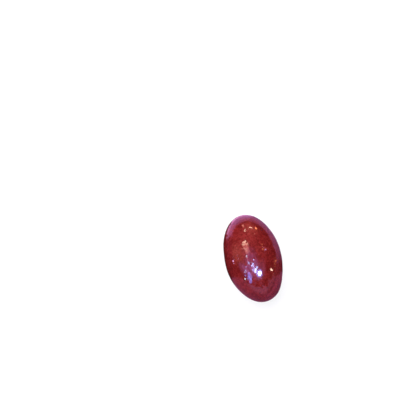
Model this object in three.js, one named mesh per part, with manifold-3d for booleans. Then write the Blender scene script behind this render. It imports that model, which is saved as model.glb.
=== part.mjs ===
// A chocolate-covered peanut: one plump, slightly lumpy oval sweet lying on its side.
// Millimetres, +Z up, +X along the sweet towards its slimmer end. The origin lies on the
// ground, under the middle of the sweet's box.

import * as THREE from "three";
import { mergeVertices } from "three/addons/utils/BufferGeometryUtils.js";
import Module from "manifold-3d";

// Driving dimensions of the smooth oval, before its lumps, in millimetres
const LENGTH = 20.0;
const WIDTH = 11.9;
const HEIGHT = 11.3;

// How much slimmer than the middle the +X end runs, and how far the oval's ends are drawn in
const TAPER = 0.023;
const DRAWN_IN = 0.029;

// The slimmer end lies a little lower, as the underside settles along its length
const DIP = THREE.MathUtils.degToRad(1.0);

// Height of the round underside that the resting spot takes off, in millimetres
const RESTING_SPOT_DEPTH = 0.18;

// Soft lumps and hollows of the coat. Each is centred on a direction from the middle of the
// oval, fades out over its reach on the unit ball, and rises (or sinks) so many millimetres.
const SWELLINGS = [
  { name: "shoulder low on the slim end", towards: [0.66, 0.62, -0.42], reach: 0.3, rise: 0.56 },
  { name: "waist on the +Y flank", towards: [0.4, 0.88, -0.25], reach: 0.28, rise: -0.18 },
  { name: "belly on the -Y flank", towards: [0.36, -0.92, -0.1], reach: 0.3, rise: 0.24 },
  { name: "hollow on the -Y flank", towards: [-0.15, -0.98, 0.05], reach: 0.3, rise: -0.13 },
  { name: "blunt tip of the slim end", towards: [0.85, -0.1, -0.52], reach: 0.35, rise: 0.08 },
  { name: "dip along the top", towards: [0.1, 0.3, 0.95], reach: 0.3, rise: -0.06 },
  { name: "ridge beside the top", towards: [-0.3, -0.5, 0.81], reach: 0.28, rise: 0.06 },
];

// Cuts along each edge of the twenty-faced ball that the oval is drawn from
const BALL_CUTS = 15;

// The ground reaches this many lengths to each side and down
const GROUND_SPAN = 2;

const GLAZE_COLOUR = 0x80201f;
const GLAZE_ROUGHNESS = 0.1;

// Height of all lumps and hollows, in millimetres, along a direction from the middle.
function swellingAt(direction) {
  let height = 0;
  for (const { towards, reach, rise } of SWELLINGS) {
    const centre = new THREE.Vector3(...towards).normalize();
    const distance = direction.distanceTo(centre);
    height += rise * Math.exp(-0.5 * (distance / reach) ** 2);
  }
  return height;
}

// A closed ball geometry that holds only shared positions.
function sharedBall() {
  const ball = new THREE.IcosahedronGeometry(1, BALL_CUTS);
  ball.deleteAttribute("normal");
  ball.deleteAttribute("uv");
  return mergeVertices(ball);
}

// The whole round sweet about its own middle, still without its resting spot.
function roundSweet() {
  const sweet = sharedBall();
  const points = sweet.getAttribute("position");
  const direction = new THREE.Vector3();
  const point = new THREE.Vector3();
  for (let i = 0; i < points.count; i += 1) {
    direction.fromBufferAttribute(points, i).normalize();
    const girth = 1 - TAPER * direction.x - DRAWN_IN * direction.x ** 2;
    point.set(
      (LENGTH / 2) * direction.x,
      (WIDTH / 2) * direction.y * girth,
      (HEIGHT / 2) * direction.z * girth,
    );
    point.addScaledVector(direction, swellingAt(direction));
    points.setXYZ(i, point.x, point.y, point.z);
  }
  sweet.rotateY(DIP);
  return sweet;
}

// A block of ground whose top lies at the given height.
function groundBlock(top) {
  const side = LENGTH * GROUND_SPAN;
  const block = new THREE.BoxGeometry(side, side, side);
  block.translate(0, 0, top - side / 2);
  block.deleteAttribute("normal");
  block.deleteAttribute("uv");
  return mergeVertices(block);
}

// A closed geometry with shared positions as a solid that can be cut.
function toSolid(wasm, geometry) {
  const vertProperties = new Float32Array(geometry.getAttribute("position").array);
  const triVerts = new Uint32Array(geometry.getIndex().array);
  return new wasm.Manifold(new wasm.Mesh({ numProp: 3, vertProperties, triVerts }));
}

// A solid's surface as a geometry again.
function toGeometry(solid) {
  const { vertProperties, triVerts } = solid.getMesh();
  const geometry = new THREE.BufferGeometry();
  geometry.setAttribute("position", new THREE.BufferAttribute(vertProperties, 3));
  geometry.setIndex(new THREE.BufferAttribute(triVerts, 1));
  return geometry;
}

// The sweet with a small flat spot underneath, set down with its box over the origin.
function restingSweet(wasm) {
  const whole = roundSweet();
  whole.computeBoundingBox();
  const ground = groundBlock(whole.boundingBox.min.z + RESTING_SPOT_DEPTH);
  const sweet = toGeometry(toSolid(wasm, whole).subtract(toSolid(wasm, ground)));
  sweet.computeBoundingBox();
  const { min, max } = sweet.boundingBox;
  sweet.translate(-(min.x + max.x) / 2, -(min.y + max.y) / 2, -min.z);
  sweet.computeVertexNormals();
  return sweet;
}

const wasm = await Module();
wasm.setup();

const glaze = new THREE.MeshStandardMaterial({
  color: GLAZE_COLOUR,
  roughness: GLAZE_ROUGHNESS,
  metalness: 0,
});

const peanut = new THREE.Mesh(restingSweet(wasm), glaze);
peanut.name = "chocolate_peanut";

const sweet = new THREE.Group();
sweet.add(peanut);

export default sweet;
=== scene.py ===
"""Looks of a chocolate-covered peanut: a mirror-glossy glaze over a slightly lumpy oval sweet.

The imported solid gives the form. This script refines its surface, raises the fine relief of the
glaze on it, dresses it, and sets it on a white floor in a studio that it mirrors. Lengths are
metres and angles are degrees, unless a name says otherwise.
"""

import logging
import math
from dataclasses import dataclass
from enum import Enum
from typing import Any, Protocol, Union

import bmesh
import bpy
import numpy as np
from mathutils import Matrix, Vector


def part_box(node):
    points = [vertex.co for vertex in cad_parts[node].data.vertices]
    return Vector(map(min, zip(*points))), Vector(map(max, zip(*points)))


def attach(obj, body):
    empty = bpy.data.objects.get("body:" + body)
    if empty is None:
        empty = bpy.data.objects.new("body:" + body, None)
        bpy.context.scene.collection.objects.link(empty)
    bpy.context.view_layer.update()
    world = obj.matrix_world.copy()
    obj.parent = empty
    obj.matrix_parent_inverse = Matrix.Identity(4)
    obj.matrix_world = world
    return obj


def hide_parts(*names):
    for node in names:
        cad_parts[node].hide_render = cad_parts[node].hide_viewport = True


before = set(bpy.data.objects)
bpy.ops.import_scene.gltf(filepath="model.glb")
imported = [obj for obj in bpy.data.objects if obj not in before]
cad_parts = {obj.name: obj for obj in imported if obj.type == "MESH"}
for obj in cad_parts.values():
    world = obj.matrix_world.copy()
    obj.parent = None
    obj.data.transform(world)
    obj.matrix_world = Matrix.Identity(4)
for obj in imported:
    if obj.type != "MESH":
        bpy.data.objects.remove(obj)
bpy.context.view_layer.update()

MILLIMETRE = 0.001

# A Mix node's sockets for colours, by number, because several of its sockets share a name
MIX_SHARE = 0
MIX_FIRST = 6
MIX_SECOND = 7
MIX_RESULT = 2

Colour = tuple[float, float, float]
Point = tuple[float, float, float]
Number = Union["Value", float]
Settings = dict[str, Any]
Sockets = dict[Union[str, int], Any]

log = logging.getLogger("peanut")


class Value:
    """A shader value: Python arithmetic on it adds Math nodes."""

    def __init__(self, shader: "Shader", socket: bpy.types.NodeSocket) -> None:
        """Keeps the socket and the shader that it belongs to."""
        self.shader = shader
        self.socket = socket

    def _math(self, operation: str, first: Number, second: Number) -> "Value":
        """Adds one Math node and gives its result."""
        return self.shader.value("ShaderNodeMath", {"operation": operation}, {0: first, 1: second})

    def __add__(self, other: Number) -> "Value":
        """Sum."""
        return self._math("ADD", self, other)

    __radd__ = __add__

    def __sub__(self, other: Number) -> "Value":
        """Difference."""
        return self._math("SUBTRACT", self, other)

    def __rsub__(self, other: Number) -> "Value":
        """Difference, with the plain number first."""
        return self._math("SUBTRACT", other, self)

    def __mul__(self, other: Number) -> "Value":
        """Product."""
        return self._math("MULTIPLY", self, other)

    __rmul__ = __mul__


class Shader:
    """The node tree of one finish or of the room."""

    def __init__(self, tree: bpy.types.NodeTree) -> None:
        """Starts from an empty tree."""
        self.tree = tree
        tree.nodes.clear()

    def node(self, kind: str, settings: Settings, sockets: Sockets) -> bpy.types.Node:
        """Adds a node of any kind.

        Args:
            kind: The node's type.
            settings: Its own settings, which are set first.
            sockets: Values or links, by the input's name or number.

        Returns:
            The new node.
        """
        made = self.tree.nodes.new(kind)
        for name, setting in settings.items():
            setattr(made, name, setting)
        for name, given in sockets.items():
            source = given.socket if isinstance(given, Value) else given
            if isinstance(source, bpy.types.NodeSocket):
                self.tree.links.new(source, made.inputs[name])
            else:
                made.inputs[name].default_value = source
        return made

    def value(self, kind: str, settings: Settings, sockets: Sockets, output: Any = 0) -> Value:
        """Adds a node and gives one of its outputs as a value."""
        return Value(self, self.node(kind, settings, sockets).outputs[output])

    def mix(self, share: Number, first: Any, second: Any) -> bpy.types.NodeSocket:
        """Blends two colours: share 0 gives the first and 1 the second."""
        sockets = {MIX_SHARE: share, MIX_FIRST: first, MIX_SECOND: second}
        return self.node("ShaderNodeMix", {"data_type": "RGBA"}, sockets).outputs[MIX_RESULT]

    def dot(self, first: Any, second: Any) -> Value:
        """The dot product of two vectors."""
        settings = {"operation": "DOT_PRODUCT"}
        return self.value("ShaderNodeVectorMath", settings, {0: first, 1: second}, "Value")

    def distance(self, first: Any, second: Any) -> Value:
        """The distance between two points."""
        settings = {"operation": "DISTANCE"}
        return self.value("ShaderNodeVectorMath", settings, {0: first, 1: second}, "Value")

    def noise(self, place: Any, grain: float, detail: float, variant: float) -> Value:
        """Soft noise from 0 to 1 in blots of about the grain's size; each variant is a new pattern."""
        sockets = {"Vector": place, "W": variant, "Scale": 1 / grain, "Detail": detail}
        return self.value("ShaderNodeTexNoise", {"noise_dimensions": "4D"}, sockets, "Fac")

    def step(self, value: Number, low: float, high: float) -> Value:
        """A smooth step that is 0 below low and 1 above high."""
        sockets = {"Value": value, "From Min": low, "From Max": high}
        return self.value("ShaderNodeMapRange", {"interpolation_type": "SMOOTHSTEP"}, sockets)


def opaque(colour: Colour) -> tuple[float, float, float, float]:
    """The colour as a shader socket takes it."""
    return (*colour, 1.0)


def add_object(name: str, data: bpy.types.ID) -> bpy.types.Object:
    """Puts a new object into the scene.

    Args:
        name: The object's name.
        data: Its mesh, light or camera.

    Returns:
        The new object.
    """
    made = bpy.data.objects.new(name, data)
    bpy.context.scene.collection.objects.link(made)
    return made


def turned_along(way: Vector, roll: float) -> Matrix:
    """The turn that points Z along a direction, rolled about it by so many degrees."""
    facing = way.to_track_quat("Z", "Y").to_matrix()
    return facing @ Matrix.Rotation(math.radians(roll), 3, "Z")


@dataclass(frozen=True)
class GlazedChocolate:
    """Deep red-brown chocolate under a clear glaze: a sharp gloss, a faint haze, and fine grains.

    Clouds, mottle and grains, each by its weight, take the colour from deep to bright. The gloss
    is a little duller, or smeared, in the stronger clouds.
    """

    deep: Colour = (0.078, 0.0044, 0.0040)
    bright: Colour = (0.196, 0.0195, 0.0172)
    gloss_roughness: float = 0.055
    smear_roughness: float = 0.03
    smear_low: float = 0.5
    smear_high: float = 0.8
    haze_share: float = 0.20
    haze_roughness: float = 0.20
    cloud_mm: float = 4.0
    mottle_mm: float = 0.6
    grain_mm: float = 0.24
    cloud_weight: float = 0.3
    mottle_weight: float = 0.3
    grain_weight: float = 0.4
    tone_low: float = 0.40
    tone_high: float = 0.74
    peel_mm: float = 0.36
    peel_height_mm: float = 0.0005
    # Layers of finer noise in the large blots, and in the small ones
    large_detail: float = 2.0
    small_detail: float = 1.0
    variant: float = 0.0

    def noise(self, shader: Shader, place: Any, grain_mm: float, detail: float) -> Value:
        """Soft noise from 0 to 1 with blots of about the given size in millimetres."""
        return shader.noise(place, grain_mm * MILLIMETRE, detail, self.variant)

    def relief(self, shader: Shader, place: bpy.types.NodeSocket) -> bpy.types.NodeSocket:
        """The normal of the glaze's finest relief, an orange-peel skin.

        Args:
            shader: The finish's shader.
            place: Where the relief is read.

        Returns:
            The normal's socket.
        """
        peel = self.noise(shader, place, self.peel_mm, self.small_detail)
        bump = {"Height": self.peel_height_mm * peel, "Strength": 1.0, "Distance": MILLIMETRE}
        return shader.node("ShaderNodeBump", {}, bump).outputs["Normal"]

    def material(self) -> bpy.types.Material:
        """The finish as a material.

        Returns:
            The new material.
        """
        made = bpy.data.materials.new("glazed_chocolate")
        made.use_nodes = True
        shader = Shader(made.node_tree)
        place = shader.node("ShaderNodeTexCoord", {}, {}).outputs["Object"]
        cloud = self.noise(shader, place, self.cloud_mm, self.large_detail)
        mottle = self.noise(shader, place, self.mottle_mm, self.large_detail)
        grain = self.noise(shader, place, self.grain_mm, self.small_detail)
        blend = self.cloud_weight * cloud + self.mottle_weight * mottle + self.grain_weight * grain
        tone = shader.step(blend, self.tone_low, self.tone_high)
        smear = shader.step(cloud, self.smear_low, self.smear_high)
        look = {
            "Base Color": shader.mix(tone, opaque(self.deep), opaque(self.bright)),
            "Roughness": self.gloss_roughness + self.smear_roughness * smear,
            "Normal": self.relief(shader, place),
            "Coat Weight": self.haze_share,
            "Coat Roughness": self.haze_roughness,
        }
        surface = shader.node("ShaderNodeBsdfPrincipled", {}, look).outputs["BSDF"]
        shader.node("ShaderNodeOutputMaterial", {}, {"Surface": surface})
        return made


class Relief(Protocol):
    """One layer of the relief of the glaze."""

    def heights(self, points: np.ndarray) -> np.ndarray:
        """Height of the layer at each point, both in millimetres."""


def bell(distance: np.ndarray, radius: float) -> np.ndarray:
    """A round bell: 1 in its middle, about a third at its radius, and soon 0 beyond that."""
    return np.exp(-((distance / radius) ** 2))


@dataclass(frozen=True)
class Waves:
    """A band of gentle waves over the glaze, all of about one length, running every way.

    Shortest and longest are shares of the length, and the height is a root mean square.
    """

    length_mm: float
    height_mm: float
    seed: int
    count: int = 48
    shortest: float = 0.75
    longest: float = 1.35

    def heights(self, points: np.ndarray) -> np.ndarray:
        """Height of the waves at each point.

        Args:
            points: Points in millimetres, one a row.

        Returns:
            Heights in millimetres.
        """
        random = np.random.default_rng(self.seed)
        ways = random.normal(size=(self.count, 3))
        ways /= np.linalg.norm(ways, axis=1, keepdims=True)
        lengths = self.length_mm * random.uniform(self.shortest, self.longest, self.count)
        phases = random.uniform(0, math.tau, self.count)
        angles = points @ (ways * (math.tau / lengths)[:, None]).T + phases
        # The mean square of one cosine is a half
        return self.height_mm * math.sqrt(2 / self.count) * np.cos(angles).sum(axis=1)


@dataclass(frozen=True)
class Nibs:
    """Small grains under the glaze: low round domes, scattered all over.

    The radius and the height of each lie between two limits.
    """

    count: int
    radius_mm: tuple[float, float]
    height_mm: tuple[float, float]
    seed: int

    def heights(self, points: np.ndarray) -> np.ndarray:
        """Height of the domes at each point.

        Args:
            points: Points in millimetres, one a row.

        Returns:
            Heights in millimetres.
        """
        random = np.random.default_rng(self.seed)
        centres = points[random.integers(len(points), size=self.count)]
        radii = random.uniform(*self.radius_mm, self.count)
        peaks = random.uniform(*self.height_mm, self.count)
        height = np.zeros(len(points))
        for centre, radius, peak in zip(centres, radii, peaks):
            height += peak * bell(np.linalg.norm(points - centre, axis=1), radius)
        return height


@dataclass(frozen=True)
class Pips:
    """A few larger grains under the glaze, each at a point in millimetres."""

    centres: tuple[Point, ...]
    radius_mm: float
    height_mm: float

    def heights(self, points: np.ndarray) -> np.ndarray:
        """Height of the grains at each point.

        Args:
            points: Points in millimetres, one a row.

        Returns:
            Heights in millimetres.
        """
        height = np.zeros(len(points))
        for centre in self.centres:
            distance = np.linalg.norm(points - np.array(centre), axis=1)
            height += self.height_mm * bell(distance, self.radius_mm)
        return height


@dataclass(frozen=True)
class Ridge:
    """One short round-topped ridge in the glaze, between two points in millimetres."""

    start: Point
    end: Point
    radius_mm: float
    height_mm: float

    def heights(self, points: np.ndarray) -> np.ndarray:
        """Height of the ridge at each point.

        Args:
            points: Points in millimetres, one a row.

        Returns:
            Heights in millimetres.
        """
        start = np.array(self.start)
        along = np.array(self.end) - start
        share = np.clip((points - start) @ along / (along @ along), 0, 1)
        distance = np.linalg.norm(points - start - share[:, None] * along, axis=1)
        return self.height_mm * bell(distance, self.radius_mm)


def mesh_points(mesh: bpy.types.Mesh) -> np.ndarray:
    """The mesh's points.

    Args:
        mesh: Any mesh.

    Returns:
        The points, one a row.
    """
    points = np.empty(len(mesh.vertices) * 3)
    mesh.vertices.foreach_get("co", points)
    return points.reshape(-1, 3)


def mesh_normals(mesh: bpy.types.Mesh) -> np.ndarray:
    """The mesh's normals at its points.

    Args:
        mesh: Any mesh.

    Returns:
        The normals, one a row.
    """
    normals = np.empty(len(mesh.vertices) * 3, np.float32)
    mesh.vertex_normals.foreach_get("vector", normals)
    return normals.reshape(-1, 3).astype(float)


@dataclass
class Peanut:
    """The sweet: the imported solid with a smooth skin, the relief of its glaze, and its finish."""

    name: str = "glazed_peanut"
    node: str = "chocolate_peanut"
    body: str = "root"
    slot: str = "glazed_chocolate"
    smooth_levels: int = 2
    even_passes: int = 24
    weld: float = 0.000002
    # The relief starts this far above the ground, and is full after the fade
    foot_mm: float = 0.08
    foot_fade_mm: float = 0.7
    relief: tuple[Relief, ...] = (
        Waves(7.0, 0.022, seed=11),
        Waves(2.2, 0.0050, seed=12),
        Waves(0.9, 0.0020, seed=13),
        Nibs(160, (0.14, 0.21), (0.012, 0.045), seed=8113),
        Nibs(420, (0.11, 0.15), (0.004, 0.016), seed=5),
        Pips(((2.96, -0.85, 10.65), (3.66, -1.27, 10.43)), 0.17, 0.05),
        Ridge((8.05, -0.20, 8.57), (8.60, 0.78, 8.07), 0.19, 0.032),
    )
    finish: GlazedChocolate = GlazedChocolate()

    def smooth_mesh(self) -> bpy.types.Mesh:
        """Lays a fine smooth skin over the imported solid's faces.

        Returns:
            The skin's mesh.
        """
        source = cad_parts[self.node].data
        skin = bpy.data.meshes.new("skin")
        work = bmesh.new()
        work.from_mesh(source)
        bmesh.ops.remove_doubles(work, verts=work.verts, dist=self.weld)
        work.to_mesh(skin)
        work.free()
        holder = add_object("skin", skin)
        smoothing = holder.modifiers.new("smooth", "SUBSURF")
        smoothing.levels = self.smooth_levels
        smoothing.render_levels = self.smooth_levels
        evening = holder.modifiers.new("even", "SMOOTH")
        evening.iterations = self.even_passes
        shown = holder.evaluated_get(bpy.context.evaluated_depsgraph_get())
        smooth = bpy.data.meshes.new_from_object(shown)
        bpy.data.objects.remove(holder)
        bpy.data.meshes.remove(skin)
        return smooth

    def raise_relief(self, mesh: bpy.types.Mesh) -> None:
        """Moves the skin in and out by every layer of the glaze's relief, but not at its foot.

        Args:
            mesh: The smooth skin, which is changed.
        """
        points = mesh_points(mesh)
        normals = mesh_normals(mesh)
        millimetres = points / MILLIMETRE
        height = sum(layer.heights(millimetres) for layer in self.relief)
        fade = np.clip((millimetres[:, 2] - self.foot_mm) / self.foot_fade_mm, 0, 1)
        points += normals * (height * fade * MILLIMETRE)[:, None]
        mesh.vertices.foreach_set("co", points.ravel())
        mesh.update()

    def build(self) -> bpy.types.Object:
        """Builds the sweet's own mesh over the solid.

        Returns:
            The sweet, still without its finish.
        """
        mesh = self.smooth_mesh()
        self.raise_relief(mesh)
        mesh.polygons.foreach_set("use_smooth", np.ones(len(mesh.polygons), bool))
        mesh.name = self.name
        return add_object(self.name, mesh)

    def dress(self, piece: bpy.types.Object) -> None:
        """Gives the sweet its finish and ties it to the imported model.

        Args:
            piece: The sweet.
        """
        piece.data.materials.clear()
        piece.data.materials.append(self.finish.material())
        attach(piece, self.body)
        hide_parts(self.node)


@dataclass(frozen=True)
class PhotoView:
    """The camera: where it looks from, and where the sweet lies in its picture."""

    azimuth: float = 77.2
    elevation: float = 58.0
    distance: float = 0.198
    lens_mm: float = 85.0
    sensor_mm: float = 36.0
    picture_pixels: float = 400.0
    sweet_pixel: tuple[float, float] = (252.9, 257.5)

    @property
    def ahead(self) -> Vector:
        """The level direction from the sweet towards the camera's side."""
        turn = math.radians(self.azimuth)
        return Vector((math.sin(turn), -math.cos(turn), 0.0))

    @property
    def right(self) -> Vector:
        """The picture's right."""
        turn = math.radians(self.azimuth)
        return Vector((math.cos(turn), math.sin(turn), 0.0))

    @property
    def back(self) -> Vector:
        """The direction from the sweet back to the camera."""
        rise = math.radians(self.elevation)
        return self.ahead * math.cos(rise) + Vector((0, 0, math.sin(rise)))

    def towards(self, bearing: float, height: float = 0.0) -> Vector:
        """A direction from the sweet.

        Args:
            bearing: Degrees round from the camera's side, to the right.
            height: Degrees up.

        Returns:
            The direction.
        """
        turn = math.radians(bearing)
        rise = math.radians(height)
        level = self.ahead * math.cos(turn) + self.right * math.sin(turn)
        return level * math.cos(rise) + Vector((0, 0, math.sin(rise)))

    def build(self, target: Vector) -> bpy.types.Object:
        """Sets up the camera so that the target lies at the sweet's place in the picture.

        Args:
            target: The middle of the sweet.

        Returns:
            The new camera.
        """
        data = bpy.data.cameras.new("photo_view")
        data.lens = self.lens_mm
        data.sensor_width = self.sensor_mm
        up = self.back.cross(self.right)
        focal_pixels = self.lens_mm / self.sensor_mm * self.picture_pixels
        aside = (self.sweet_pixel[0] - self.picture_pixels / 2) / focal_pixels * self.distance
        below = (self.sweet_pixel[1] - self.picture_pixels / 2) / focal_pixels * self.distance
        place = target + self.back * self.distance - self.right * aside + up * below
        turned = Matrix((self.right, up, self.back)).transposed().to_4x4()
        camera = add_object("photo_view", data)
        camera.matrix_world = Matrix.Translation(place) @ turned
        bpy.context.scene.camera = camera
        return camera


@dataclass(frozen=True)
class Flag:
    """A dark card at one side of the set, which takes away the light that comes from there. It is no
    object: it is painted shade on the floor that the sweet mirrors, and darkness in the room.

    The darkness is the share of the light that it takes. The blur of its sides is counted in the
    """

    bearing: float
    half_width: float
    darkness: float
    blur: float

    def share(self, shader: Shader, way: bpy.types.NodeSocket, view: PhotoView) -> Value:
        """How much of the light from a direction the card takes away.

        Args:
            shader: The shader of the floor or of the room.
            way: The direction.
            view: The camera, whose side the bearing counts from.

        Returns:
            The share, from 0 to 1.
        """
        facing = shader.dot(way, view.towards(self.bearing))
        edge = math.cos(math.radians(self.half_width))
        return self.darkness * shader.step(facing, edge - self.blur, edge + self.blur)


# At the left, the right, behind right, ahead right and behind left, for the floor and the room
FLAGS = (
    Flag(-96, 30, 0.95, 0.018),
    Flag(97, 9.5, 0.85, 0.006),
    Flag(139, 35, 0.55, 0.05),
    Flag(75, 35, 0.40, 0.10),
    Flag(-132, 14, 0.15, 0.03),
)


@dataclass(frozen=True)
class Patch:
    """A round patch of painted light and shade on the mirrored floor, which fades out at its rim.

    Its middle lies so far ahead of the origin, towards the camera's side, and so far aside, to the
    picture's right. The tone is full inside the start's radius, and gone at the end's.
    """

    ahead: float
    aside: float
    start: float
    end: float
    tone: Colour

    def share(self, shader: Shader, place: bpy.types.NodeSocket, view: PhotoView) -> Value:
        """How much of the patch's tone shows at a place, from 0 to 1."""
        middle = view.ahead * self.ahead + view.right * self.aside
        return 1 - shader.step(shader.distance(place, middle), self.start, self.end)


@dataclass
class Floor:
    """A plain floor, bright white to the camera, and of a dimmer lilac to the sweet.

    To the camera it has the white tone and the lit glow. What it bounces to the sweet has the
    bounced tone, with patches of painted light and shade on it, and painted shade where the flags
    stand.
    """

    half_width: float = 3.0
    white: Colour = (0.14, 0.145, 0.14)
    lit: Colour = (0.82, 0.84, 0.84)
    unlit: Colour = (0.0, 0.0, 0.0)
    bounced: Colour = (0.51, 0.30, 0.63)
    # The tone of the painted shade on the mirrored floor where the flags stand
    dark: Colour = (0.010, 0.004, 0.005)
    # Painted shade on the floor ahead, rosy painted light ahead right, pale painted light behind left,
    # and a painted contact shadow underneath
    patches: tuple[Patch, ...] = (
        Patch(0.500, 0.003, 0.492, 0.538, (0.262, 0.094, 0.172)),
        Patch(0.022, 0.034, 0.008, 0.030, (0.90, 0.22, 0.42)),
        Patch(-0.017, -0.014, 0.007, 0.017, (1.0, 0.55, 0.95)),
        Patch(-0.0065, -0.006, 0.0098, 0.0122, (0.02, 0.006, 0.008)),
    )
    flags: tuple[Flag, ...] = FLAGS

    def build(self, view: PhotoView) -> bpy.types.Object:
        """Lays the floor under the sweet.

        Args:
            view: The camera, whose side the patches and flags count from.

        Returns:
            The floor.
        """
        side = self.half_width
        corners = [(-side, -side, 0), (side, -side, 0), (side, side, 0), (-side, side, 0)]
        mesh = bpy.data.meshes.new("floor")
        mesh.from_pydata(corners, [], [(0, 1, 2, 3)])
        floor = add_object("floor", mesh)
        floor.data.materials.append(self.material(view))
        return floor

    def material(self, view: PhotoView) -> bpy.types.Material:
        """A matt floor, white to the camera, with painted light and shade from patches and flags.

        Args:
            view: The camera, whose side the patches and flags count from.

        Returns:
            The new material.
        """
        made = bpy.data.materials.new("floor_white")
        made.use_nodes = True
        shader = Shader(made.node_tree)
        place = shader.node("ShaderNodeTexCoord", {}, {}).outputs["Object"]
        bounced = opaque(self.bounced)
        # Painted light and shade on the mirrored floor, from the patches
        for patch in self.patches:
            bounced = shader.mix(patch.share(shader, place, view), bounced, opaque(patch.tone))
        unit = {"operation": "NORMALIZE"}
        way = shader.node("ShaderNodeVectorMath", unit, {"Vector": place}).outputs["Vector"]
        # Painted shade on the mirrored floor where the flags stand
        for flag in self.flags:
            bounced = shader.mix(flag.share(shader, way, view), bounced, opaque(self.dark))
        seen = shader.value("ShaderNodeLightPath", {}, {}, "Is Camera Ray")
        look = {
            "Base Color": shader.mix(seen, bounced, opaque(self.white)),
            "Emission Color": shader.mix(seen, opaque(self.unlit), opaque(self.lit)),
            "Emission Strength": 1.0,
            "Roughness": 1.0,
            "Specular IOR Level": 0.0,
        }
        surface = shader.node("ShaderNodeBsdfPrincipled", {}, look).outputs["BSDF"]
        shader.node("ShaderNodeOutputMaterial", {}, {"Surface": surface})
        return made


class Tone(Enum):
    """Colours of the studio's light panels."""

    WINDOW = (0.62, 0.78, 1.0)
    SKY = (0.38, 0.56, 1.0)
    DUSK = (0.17, 0.29, 1.0)
    CREAM = (1.0, 0.66, 0.5)
    WARM = (1.0, 0.40, 0.30)
    AMBER = (1.0, 0.30, 0.13)
    ROSE = (0.85, 0.50, 1.0)


@dataclass(frozen=True)
class Lamp:
    """A light panel that faces the sweet, seen only in the gloss.

    It is so wide and tall as shares of its distance, and rolled about the line to the sweet. The
    glare sets how bright its face is.
    """

    name: str
    bearing: float
    height: float
    wide: float
    tall: float
    roll: float
    tone: Tone
    glare: float
    round_shape: bool = False
    distance: float = 0.4

    def build(self, view: PhotoView, target: Vector) -> bpy.types.Object:
        """Hangs the panel round the target, by its bearing, height and roll.

        Args:
            view: The camera, whose side the bearing counts from.
            target: The point that the panel faces.

        Returns:
            The new light.
        """
        data = bpy.data.lights.new(self.name, "AREA")
        data.shape = "ELLIPSE" if self.round_shape else "RECTANGLE"
        data.size = self.wide * self.distance
        data.size_y = self.tall * self.distance
        data.color = self.tone.value
        data.energy = self.glare * math.pi * data.size * data.size_y
        away = view.towards(self.bearing, self.height)
        turned = turned_along(away, self.roll).to_4x4()
        lamp = add_object(self.name, data)
        lamp.matrix_world = Matrix.Translation(target + away * self.distance) @ turned
        lamp.visible_camera = False
        lamp.visible_diffuse = False
        return lamp


@dataclass(frozen=True)
class SoftSun:
    """A wide soft light from far away, which the gloss doesn't mirror.

    The spread is the angle that it fills, seen from the sweet.
    """

    name: str
    bearing: float
    height: float
    spread: float
    strength: float

    def build(self, view: PhotoView) -> bpy.types.Object:
        """Sets up the light by its bearing and height.

        Args:
            view: The camera, whose side the bearing counts from.

        Returns:
            The new light.
        """
        data = bpy.data.lights.new(self.name, "SUN")
        data.energy = self.strength
        data.angle = math.radians(self.spread)
        away = view.towards(self.bearing, self.height)
        sun = add_object(self.name, data)
        sun.rotation_euler = away.to_track_quat("Z", "Y").to_euler()
        sun.visible_glossy = False
        return sun


@dataclass(frozen=True)
class Glow:
    """A soft oval of light in the room, brightest in its middle, which the sweet mirrors.

    It is so wide and tall, and reaches so deep in and out, as shares of the distance to it. The
    dapple is the share of it that scattered blots take away, each of about the grain's size.
    """

    bearing: float
    height: float
    wide: float
    tall: float
    roll: float
    tone: Colour
    dapple: float = 0.0
    grain: float = 0.14
    deep: float = 1.2
    blot_low: float = 0.42
    blot_high: float = 0.62
    blot_detail: float = 1.0
    variant: float = 0.0

    def share(self, shader: Shader, way: bpy.types.NodeSocket, view: PhotoView) -> Value:
        """How much of the glow is seen along a direction.

        Args:
            shader: The room's shader.
            way: The direction.
            view: The camera, whose side the bearing counts from.

        Returns:
            The share, from 0 to 1.
        """
        middle = view.towards(self.bearing, self.height)
        oval = {
            "Vector": way,
            "Location": middle,
            "Rotation": turned_along(middle, self.roll).to_euler(),
            "Scale": (self.wide / 2, self.tall / 2, self.deep),
        }
        inside = shader.node("ShaderNodeMapping", {"vector_type": "TEXTURE"}, oval).outputs["Vector"]
        round_fade = {"gradient_type": "SPHERICAL"}
        ball = shader.value("ShaderNodeTexGradient", round_fade, {"Vector": inside}, "Fac")
        noise = shader.noise(way, self.grain, self.blot_detail, self.variant)
        blots = shader.step(noise, self.blot_low, self.blot_high)
        return shader.step(ball, 0, 1) * (1 - self.dapple * blots)


@dataclass(frozen=True)
class Card:
    """A pale card that rises from the horizon on one side of the room, where the sweet mirrors it.

    Along a unit direction, its top is as high as the slope times the share of the direction that
    goes to its bearing, plus the lift. Its top blurs over the edge. From the horizon up to the
    rise, its shade runs from the foot's to the full tone.
    """

    bearing: float
    slope: float
    lift: float
    tone: Colour
    foot: Colour
    rise: float = 0.26
    edge: float = 0.02

    def share(self, shader: Shader, way: bpy.types.NodeSocket, up: Value, view: PhotoView) -> Value:
        """How much of the card is seen along a direction that goes so far up, from 0 to 1."""
        facing = shader.dot(way, view.towards(self.bearing))
        return shader.step(self.slope * facing + self.lift - up, -self.edge, self.edge)

    def shade(self, shader: Shader, up: Value) -> bpy.types.NodeSocket:
        """The card's colour along a direction that goes so far up."""
        return shader.mix(shader.step(up, 0, self.rise), opaque(self.foot), opaque(self.tone))


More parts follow.
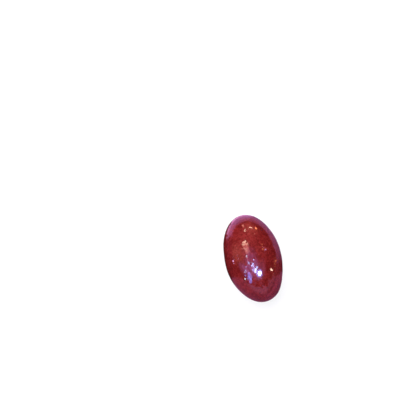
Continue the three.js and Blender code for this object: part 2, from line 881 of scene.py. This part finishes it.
@dataclass
class Studio:
    """The light: two soft suns, a dark room with pale cards and glows, and small light panels."""

    suns: tuple[SoftSun, ...] = (
        SoftSun("key", -118, 64, 95, 5.7),
        SoftSun("fill", 82, 10, 50, 1.8),
    )
    room: Colour = (0.015, 0.008, 0.010)
    # One ahead of the sweet and a low one behind it
    cards: tuple[Card, ...] = (
        Card(20, 0.72, -0.04, (1.05, 0.53, 1.06), (0.66, 0.30, 0.55)),
        Card(-168, 0.90, -0.68, (0.9, 0.42, 1.0), (0.9, 0.42, 1.0)),
    )
    flags: tuple[Flag, ...] = FLAGS
    # Two dappled lilac ones high at the left, a rosy one high at the right, and two low warm ones
    glows: tuple[Glow, ...] = (
        Glow(-46, 74, 1.3, 1.2, 0, (3.4, 1.6, 4.8), 0.65),
        Glow(-66, 41, 0.55, 1.1, -29, (3.6, 1.7, 4.9), 0.65),
        Glow(76, 64, 0.8, 0.6, 0, (1.3, 0.45, 1.0)),
        Glow(-100, 26, 0.8, 1.7, -6, (1.9, 0.55, 0.45)),
        Glow(178, 30, 0.9, 0.85, 0, (2.2, 0.45, 0.35)),
    )
    backdrop: Colour = (1.0, 1.0, 1.0)
    lamps: tuple[Lamp, ...] = (
        Lamp("front_window", 16, 66, 0.34, 0.16, 9, Tone.WINDOW, 50, round_shape=True),
        Lamp("window_halo", 14, 67, 0.58, 0.34, 9, Tone.DUSK, 9, round_shape=True),
        Lamp("window_edge_high", -26, 77, 0.05, 0.30, -42, Tone.SKY, 50),
        Lamp("window_edge_low", -31, 67, 0.14, 0.12, -45, Tone.SKY, 36),
        Lamp("edge_halo", -31, 70, 0.20, 0.34, -42, Tone.DUSK, 4, round_shape=True),
        Lamp("side_window", -50, 40, 0.26, 0.34, -6, Tone.DUSK, 8, round_shape=True),
        Lamp("side_window_low", -46, 26, 0.16, 0.34, -6, Tone.DUSK, 8, round_shape=True),
        Lamp("sky_chink_left", -98, 63, 0.04, 0.06, 0, Tone.WINDOW, 20),
        Lamp("sky_chink_mid", -78, 63, 0.03, 0.06, 6, Tone.SKY, 20),
        Lamp("sky_chink_right", -52, 72, 0.03, 0.06, -21, Tone.SKY, 26),
        Lamp("sky_chink_inner", -50, 65, 0.08, 0.025, 63, Tone.SKY, 22),
        Lamp("sky_chink_low", -67, 33, 0.02, 0.22, 0, Tone.SKY, 20),
        Lamp("sky_chink_lower", -61, 23, 0.04, 0.10, -39, Tone.DUSK, 18),
        Lamp("sky_chink_lowest", -58, 12, 0.02, 0.17, -37, Tone.WINDOW, 20),
        Lamp("left_chink", -92, 1, 0.018, 0.045, 9, Tone.ROSE, 30, distance=0.06),
        Lamp("left_chink_high", -92, 28, 0.03, 0.035, -3, Tone.ROSE, 26),
        Lamp("right_chink", 131, 50, 0.06, 0.08, -9, Tone.AMBER, 22),
        Lamp("right_chink_low", 124, 45, 0.04, 0.08, -12, Tone.ROSE, 10),
        Lamp("right_chink_far", 107, 9, 0.07, 0.14, 15, Tone.AMBER, 14),
        Lamp("warm_wall", -126, 62, 0.38, 0.25, -51, Tone.WARM, 3, round_shape=True),
        Lamp("warm_wall_edge", -116, 60, 0.26, 0.04, -66, Tone.CREAM, 6),
        Lamp("warm_wall_top", -134, 57, 0.35, 0.04, -42, Tone.CREAM, 11),
        Lamp("warm_strip", -137, 54, 0.20, 0.022, -27, Tone.CREAM, 26),
        Lamp("back_lamp", 175, 29, 0.11, 0.05, 6, Tone.CREAM, 30),
        Lamp("back_lamp_right", 162, 23, 0.06, 0.14, -9, Tone.AMBER, 16),
        Lamp("back_lamp_left", -165, 36, 0.13, 0.025, -39, Tone.CREAM, 16),
        Lamp("back_lamp_far_left", -165, 21, 0.08, 0.09, 0, Tone.WARM, 8),
        Lamp("right_lamp", 91, 27, 0.20, 0.035, -75, Tone.CREAM, 28),
    )

    def surroundings(self, view: PhotoView) -> bpy.types.World:
        """The room that the sweet mirrors, with a white backdrop for the camera.

        Args:
            view: The camera, whose side the cards, flags and glows count from.

        Returns:
            The new world.
        """
        world = bpy.data.worlds.new("studio")
        world.use_nodes = True
        shader = Shader(world.node_tree)
        way = shader.node("ShaderNodeTexCoord", {}, {}).outputs["Generated"]
        up = shader.value("ShaderNodeSeparateXYZ", {}, {"Vector": way}, "Z")
        mirrored = opaque(self.room)
        for card in self.cards:
            on_card = card.share(shader, way, up, view)
            mirrored = shader.mix(on_card, mirrored, card.shade(shader, up))
        for flag in self.flags:
            mirrored = shader.mix(flag.share(shader, way, view), mirrored, opaque(self.room))
        for glow in self.glows:
            mirrored = shader.mix(glow.share(shader, way, view), mirrored, opaque(glow.tone))
        seen = shader.value("ShaderNodeLightPath", {}, {}, "Is Camera Ray")
        tone = shader.mix(seen, mirrored, opaque(self.backdrop))
        light = shader.node("ShaderNodeBackground", {}, {"Color": tone}).outputs["Background"]
        shader.node("ShaderNodeOutputWorld", {}, {"Surface": light})
        bpy.context.scene.world = world
        return world

    def build(self, view: PhotoView, target: Vector) -> None:
        """Lights the scene round the target.

        Args:
            view: The camera, whose side all the light counts from.
            target: The point that the light panels face.
        """
        bpy.context.scene.view_settings.view_transform = "Standard"
        self.surroundings(view)
        for sun in self.suns:
            sun.build(view)
        for lamp in self.lamps:
            lamp.build(view, target)
            log.info("hung %s", lamp.name)


def main() -> None:
    """Builds the camera, the sweet, the floor and the light."""
    logging.basicConfig(level=logging.INFO, format="%(name)s: %(message)s")
    low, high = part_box(Peanut.node)
    middle = (low + high) / 2
    view = PhotoView()
    view.build(middle)
    peanut = Peanut()
    piece = peanut.build()
    peanut.dress(piece)
    log.info("built %s with %d faces", piece.name, len(piece.data.polygons))
    floor = Floor().build(view)
    log.info("laid %s", floor.name)
    Studio().build(view, middle)


if __name__ == "__main__":
    main()
